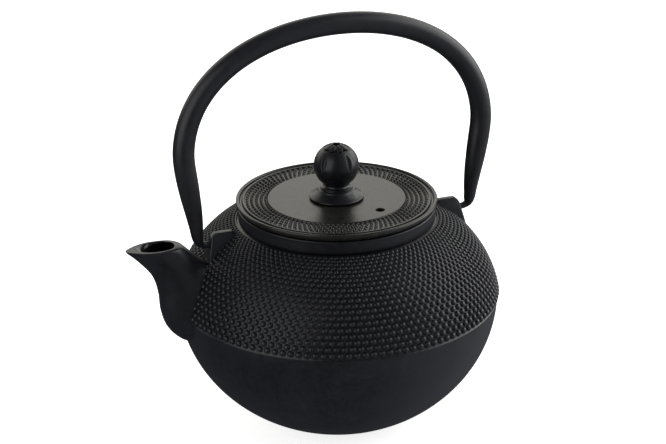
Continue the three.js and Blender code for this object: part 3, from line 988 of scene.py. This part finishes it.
def knob_profile():
    """The outline from the foot over the ball and down into the hole on top."""
    ball_start = -math.acos(STEM_RADIUS / BALL_RADIUS)
    hole_edge = math.acos((TOP_HOLE_RADIUS + 0.25) / BALL_RADIUS)
    seat = KNOB_SEAT
    foot = soften([
        (0.2, seat, 0), (13.7, seat, 0.3), (13.9, seat + 1.0, 0.5), (12.2, seat + 1.9, 1.0),
        (9.8, seat + 3.9, 0.8), (9.2, seat + 4.9, 0.35), (8.1, seat + 5.0, 0.1),
        (8.3, seat + 6.0, 0.35), (7.0, seat + 6.2, 0.2), (6.5, seat + 7.0, 0.4)], steps=5)
    ball = arc((0, BALL_CENTRE), BALL_RADIUS, BALL_RADIUS, ball_start, hole_edge, 90)
    top = ball[-1][1]
    hole = soften([(*ball[-1], 0), (TOP_HOLE_RADIUS, top - 0.3, 0.2),
                   (TOP_HOLE_RADIUS, top - 3.6, 0.3), (0.2, top - 4.2, 0)])
    return np.vstack([foot, ball, hole[1:]])


outline = even_profile(knob_profile(), 0.2)
ahead = np.gradient(outline, axis=0)
ahead /= np.linalg.norm(ahead, axis=1)[:, None] + 1e-9
outward = np.stack([ahead[:, 1], -ahead[:, 0]], axis=-1)
knob_radius, knob_turn = np.meshgrid(outline[:, 0], circle(KNOB_STEPS), indexing="ij")
knob_height = np.repeat(outline[:, 1:], KNOB_STEPS, axis=1)
cut = knob_depth(knob_radius, knob_height, knob_turn) * (knob_height > STEM_TOP)
knob_radius = knob_radius - cut * outward[:, :1]
knob_height = knob_height - cut * outward[:, 1:]
grid = np.stack([knob_radius * np.cos(knob_turn), knob_radius * np.sin(knob_turn),
                 knob_height], axis=-1).reshape(-1, 3)
knob = make_object("knob_casting", grid, tube_faces(len(outline), KNOB_STEPS),
                   [cast_iron_knob], sharp_degrees=50)
tapped = peg("tapped_hole", SCREW_HOLE_RADIUS, KNOB_SEAT - 1, KNOB_SEAT + 11, cast_iron_knob)
carve(knob, "DIFFERENCE", tapped)
shade(knob, 50)
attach(knob, "lid_set")
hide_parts("lid_knob")
print("knob faces:", len(knob.data.polygons))

# %% [markdown]
# Under the lid, a plain washer and a slotted screw hold the knob. They are turned from bar, so
# their edges have small even chamfers.

# %% Washer and screw
THREAD_RADIUS = 2.0
THREAD_ROOT = 1.72
THREAD_PITCH = 0.7
HEAD_RADIUS = 4
WASHER_RADIUS = 6

w0, w1 = heights("knob_washer")
washer_profile = soften([
    (SCREW_HOLE_RADIUS, w0, 0.15), (WASHER_RADIUS, w0, 0.2), (WASHER_RADIUS, w1, 0.2),
    (SCREW_HOLE_RADIUS, w1, 0.15), (SCREW_HOLE_RADIUS, w0 + 0.2, 0)])
washer = make_object("plain_washer", *turned_ring(washer_profile, 96), [turned_stainless])
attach(washer, "lid_set")
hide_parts("knob_washer")

s0, s1 = heights("knob_screw")
thread = [(0, s0, 0), (3.1, s0, 0.5), (HEAD_RADIUS, s0 + 1, 0.5), (HEAD_RADIUS, w0 - 0.3, 0.2),
          (THREAD_RADIUS, w0 - 0.3, 0)]
for i in range(int((s1 - w1 - 1) / THREAD_PITCH)):
    crest = w1 + 0.4 + i * THREAD_PITCH
    thread += [(THREAD_RADIUS, crest, 0), (THREAD_ROOT, crest + THREAD_PITCH / 2, 0)]
thread += [(THREAD_RADIUS, s1 - 0.5, 0), (1.5, s1, 0), (0, s1, 0)]
screw = make_object("slotted_screw", *turned(soften(thread), 64), [turned_stainless])
SLOT_HALF = (4.5, 0.5, 1.0)
slot_points = [(x * SLOT_HALF[0], y * SLOT_HALF[1], s0 + z * SLOT_HALF[2])
               for x in (-1, 1) for y in (-1, 1) for z in (-1, 1)]
slot_faces = [(0, 1, 3, 2), (4, 6, 7, 5), (0, 4, 5, 1), (2, 3, 7, 6), (0, 2, 6, 4), (1, 5, 7, 3)]
carve(screw, "DIFFERENCE", make_object("slot", slot_points, slot_faces, [turned_stainless]))
shade(screw, 30)
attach(screw, "lid_set")
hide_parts("knob_screw")
print("screw faces:", len(screw.data.polygons))

# %% [markdown]
# ## The bail
# The handle is a strip of sheet steel rolled into a tube with its seam on the inside, so that it
# is light and stays cool. Both ends are drawn down, where the seam closes to a crease, and bend
# inward to a pin. A sweep makes it: a C-shaped section follows the centre line, and its radius,
# its gap and its hollow change with the distance from the nearer tip.

# %% Bail centre line
BAIL_HALF_WIDTH = 79.2
BAIL_SHOULDER = 47
BAIL_RISE = 106
TUBE_RADIUS = 5.4
TUBE_WALL = 1.2
SEAM_WIDTH = 1.4
PIN_RADIUS = 1.7
PIN_LENGTH = 8.5
NECK_LENGTH = 15
TAPER_LENGTH = 50
NECK_TUBE_RADIUS = 3.0
SEAM_START = 24
SEAM_FULL = 42
BAIL_END = [
    (PIN_TIP, 0), (66, 0), (70, 0), (72.7, 1.3), (73.8, 5), (74.3, 10.5), (75.4, 19), (77, 29)]


def bail_points():
    """The points (out, up from the pins) that the centre line runs through, tip to tip."""
    arch = []
    for angle in np.linspace(0, math.pi, 19):
        fullness = 1 + 0.02 * math.sin(2 * angle) ** 2
        arch.append((BAIL_HALF_WIDTH * math.cos(angle) * fullness,
                     BAIL_SHOULDER + (BAIL_RISE - BAIL_SHOULDER) * math.sin(angle) * fullness))
    left = [(-out, up) for out, up in reversed(BAIL_END)]
    return np.array([*BAIL_END, *arch, *left], float)


def centripetal(points, steps):
    """A smooth curve through unevenly spaced points, without overshoot at the tight bends."""
    ends = [2 * points[0] - points[1]], [2 * points[-1] - points[-2]]
    points = np.vstack([ends[0], points, ends[1]])
    result = []
    for p0, p1, p2, p3 in zip(points, points[1:], points[2:], points[3:]):
        t0 = 0.0
        t1 = t0 + math.sqrt(np.linalg.norm(p1 - p0))
        t2 = t1 + math.sqrt(np.linalg.norm(p2 - p1))
        t3 = t2 + math.sqrt(np.linalg.norm(p3 - p2))
        for t in np.linspace(t1, t2, steps, endpoint=False):
            a1 = ((t1 - t) * p0 + (t - t0) * p1) / (t1 - t0)
            a2 = ((t2 - t) * p1 + (t - t1) * p2) / (t2 - t1)
            a3 = ((t3 - t) * p2 + (t - t2) * p3) / (t3 - t2)
            b1 = ((t2 - t) * a1 + (t - t0) * a2) / (t2 - t0)
            b2 = ((t3 - t) * a2 + (t - t1) * a3) / (t3 - t1)
            result.append(((t2 - t) * b1 + (t - t1) * b2) / (t2 - t1))
    result.append(points[-2])
    return np.array(result)


def tube_radius(distance):
    """The section's radius at a distance from the nearer tip: pin, neck, then a long taper."""
    if distance < PIN_LENGTH:
        return PIN_RADIUS - 0.4 * max(0.0, 1 - distance / 0.5) ** 2
    if distance < NECK_LENGTH:
        return PIN_RADIUS + (NECK_TUBE_RADIUS - PIN_RADIUS) * float(
            smooth_share(distance, PIN_LENGTH, NECK_LENGTH))
    share = min((distance - NECK_LENGTH) / (TAPER_LENGTH - NECK_LENGTH), 1)
    return NECK_TUBE_RADIUS + (TUBE_RADIUS - NECK_TUBE_RADIUS) * math.sin(share * math.pi / 2)


# %% [markdown]
# The section starts at one lip of the seam, runs round the outside to the other lip and comes
# back along the hollow. Near the tips the gap and the hollow shrink until the seam is a crease.

# %% Bail sweep
def bail_section(distance):
    """The C-shaped section at a distance from the nearer tip, as (radius, angle) pairs."""
    radius = tube_radius(distance)
    opened = float(smooth_share(distance, SEAM_START, SEAM_FULL))
    hollow = 0.1 * radius * (1 - opened) + (radius - TUBE_WALL) * opened
    gap = 0.05 * (1 - opened) + SEAM_WIDTH * opened
    outer_edge = math.asin(gap / 2 / radius)
    inner_edge = math.asin(min(gap / 2 / hollow, 0.95))
    lip = 0.35 / radius
    full = 2 * math.pi
    return [
        (radius - 0.30, outer_edge), (radius - 0.07, outer_edge + 0.3 * lip),
        *((radius, a) for a in np.linspace(outer_edge + lip, full - outer_edge - lip, 39)),
        (radius - 0.07, full - outer_edge - 0.3 * lip), (radius - 0.30, full - outer_edge),
        *((hollow, a) for a in np.linspace(full - inner_edge, inner_edge, 21))]


line = centripetal(bail_points(), 24)
along = np.append(0, np.cumsum(np.linalg.norm(np.diff(line, axis=0), axis=1)))
bail_length = along[-1]


def on_line(distance):
    """The point of the centre line at a distance along it."""
    return np.array([np.interp(distance, along, line[:, k]) for k in (0, 1)])


END_LENGTH = 60
LOOK_AHEAD = 0.4
end_stops = np.arange(0, END_LENGTH, 0.6)
stops = np.concatenate([end_stops, np.linspace(END_LENGTH, bail_length - END_LENGTH, 190),
                        bail_length - end_stops[::-1]])
bail_grid = []
for stop in stops:
    centre = on_line(stop)
    ahead = on_line(stop + LOOK_AHEAD) - on_line(stop - LOOK_AHEAD)
    ahead = ahead / np.linalg.norm(ahead)
    inward = np.array((-ahead[1], ahead[0]))
    section = bail_section(min(stop, bail_length - stop))
    for r, a in section:
        place = centre + inward * r * math.cos(a)
        bail_grid.append((place[0], -r * math.sin(a), PIVOT_HEIGHT + place[1]))
bail = make_object("bail_rolled_steel", bail_grid, tube_faces(len(stops), len(section)),
                   [painted_steel], sharp_degrees=50)
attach(bail, "bail")
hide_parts("bail_handle")
print("bail faces:", len(bail.data.polygons))

# %% [markdown]
# ## The infuser
# A basket of woven stainless wire hangs in the neck from a pressed rim. The real weave is finer;
# here the wires are 1.6 mm apart, so that each one can be a real tube that passes over one
# crossing wire and under the next. The tubes have four smooth-shaded sides, enough at this size.

# %% Woven wire
WIRE_RADIUS = 0.19
WIRE_PITCH = 1.6
SLEEVE_TOP_RADIUS = 40.1
SLEEVE_FOOT_RADIUS = 38.1
INFUSER_FLOOR_RADIUS = 34.8
RIM_INSIDE = 41
RIM_NECK = 41.8
RIM_REACH = 45.4
SHEET = 0.8

rim_foot, rim_top = heights("infuser_rim")
rim_profile = soften([
    (RIM_INSIDE, rim_foot, 0.2), (RIM_NECK, rim_foot, 0.2), (RIM_NECK, rim_top - SHEET, 0.5),
    (RIM_REACH, rim_top - SHEET, 0.3), (RIM_REACH, rim_top, 0.3), (RIM_INSIDE + 0.4, rim_top, 0.4),
    (RIM_INSIDE, rim_top - SHEET, 0.3), (RIM_INSIDE, rim_foot + 0.3, 0)])
infuser_rim = make_object("infuser_pressed_rim", *turned_ring(rim_profile, 160), [drawn_stainless])
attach(infuser_rim, "infuser")
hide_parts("infuser_rim")


def wires(name, paths, material):
    """One object of many closed tubes. Each path is (points, normals, whether it closes)."""
    corners = np.arange(4) * math.pi / 2 + math.pi / 4
    points, faces, first = [], [], 0
    for path, normal, closes in paths:
        path = np.asarray(path, float)
        ahead = np.roll(path, -1, axis=0) - np.roll(path, 1, axis=0)
        if not closes:
            ahead[0], ahead[-1] = path[1] - path[0], path[-1] - path[-2]
        ahead /= np.linalg.norm(ahead, axis=1)[:, None]
        side = np.cross(ahead, normal)
        side /= np.linalg.norm(side, axis=1)[:, None]
        up = np.cross(side, ahead)
        tube = path[:, None] + WIRE_RADIUS * (
            side[:, None] * np.cos(corners)[:, None] + up[:, None] * np.sin(corners)[:, None])
        points.append(tube.reshape(-1, 3))
        rows = len(path)
        for row in range(rows if closes else rows - 1):
            after = (row + 1) % rows
            for k in range(4):
                n = (k + 1) % 4
                faces.append((first + row * 4 + k, first + after * 4 + k,
                              first + after * 4 + n, first + row * 4 + n))
        if not closes:
            faces.append(tuple(first + k for k in range(4)))
            faces.append(tuple(first + (rows - 1) * 4 + k for k in reversed(range(4))))
        first += rows * 4
    return make_object(name, np.vstack(points), faces, [material], sharp_degrees=100)


def sleeve_paths():
    """Upright wires and rings of the sleeve, each over one neighbour and under the next."""
    low, high = heights("infuser_sleeve")
    around = 2 * round(math.pi * SLEEVE_TOP_RADIUS / WIRE_PITCH)
    rings = int((high - low) / WIRE_PITCH)
    ring_heights = np.linspace(low + 0.5, high - 0.5, rings)
    weave = WIRE_RADIUS * 0.9
    flare = SLEEVE_TOP_RADIUS - SLEEVE_FOOT_RADIUS

    def skin(z):
        return SLEEVE_FOOT_RADIUS + flare * (z - low) / (high - low)

    paths = []
    for i in range(around):
        angle = i * 2 * math.pi / around
        z = np.linspace(low + 0.1, high - 0.1, 2 * rings + 1)
        place = (z - ring_heights[0]) / (ring_heights[1] - ring_heights[0])
        r = skin(z) + weave * np.cos(math.pi * (place + i))
        path = np.stack([r * math.cos(angle), r * math.sin(angle), z], axis=-1)
        normal = np.tile((math.cos(angle), math.sin(angle), 0.0), (len(z), 1))
        paths.append((path, normal, False))
    turn = np.arange(2 * around) * math.pi / around
    for k, z in enumerate(ring_heights):
        r = skin(z) - weave * np.cos(math.pi * (turn * around / (2 * math.pi) + k))
        path = np.stack([r * np.cos(turn), r * np.sin(turn), np.full(len(turn), z)], axis=-1)
        normal = np.stack([np.cos(turn), np.sin(turn), np.zeros(len(turn))], axis=-1)
        paths.append((path, normal, True))
    return paths


def floor_paths():
    """Two sets of straight wires that cross under and over each other in a disc."""
    middle = sum(heights("infuser_floor")) / 2
    reach = INFUSER_FLOOR_RADIUS
    count = int(2 * reach / WIRE_PITCH) - 1
    lines = (np.arange(count) - (count - 1) / 2) * WIRE_PITCH
    weave = WIRE_RADIUS * 0.55
    paths = []
    for k, aside in enumerate(lines):
        half = math.sqrt(reach ** 2 - aside ** 2)
        run = np.linspace(-half, half, 2 * int(2 * half / WIRE_PITCH) + 3)
        phase = math.pi * ((run - lines[0]) / WIRE_PITCH + k)
        z = middle + weave * np.cos(phase)
        normal = np.tile((0.0, 0.0, 1.0), (len(run), 1))
        paths.append((np.stack([run, np.full(len(run), aside), z], axis=-1), normal, False))
        z = middle - weave * np.cos(phase)
        paths.append((np.stack([np.full(len(run), aside), run, z], axis=-1), normal, False))
    return paths


for name, paths, node in (("infuser_woven_sleeve", sleeve_paths(), "infuser_sleeve"),
                          ("infuser_woven_floor", floor_paths(), "infuser_floor")):
    weave = wires(name, paths, wire_stainless)
    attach(weave, "infuser")
    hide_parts(node)
    print(name, "faces:", len(weave.data.polygons))

RING_INSIDE = 35.2
RING_REACH = 39.2
r0, r1 = heights("infuser_base_ring")
ring_profile = soften([
    (RING_INSIDE, r0, 0.3), (RING_REACH, r0, 0.4), (RING_REACH, r1, 0.3), (RING_INSIDE, r1, 0.3),
    (RING_INSIDE, r0 + 0.4, 0)])
base_ring = make_object("infuser_binding_ring", *turned_ring(ring_profile, 160),
                        [drawn_stainless])
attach(base_ring, "infuser")
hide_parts("infuser_base_ring")
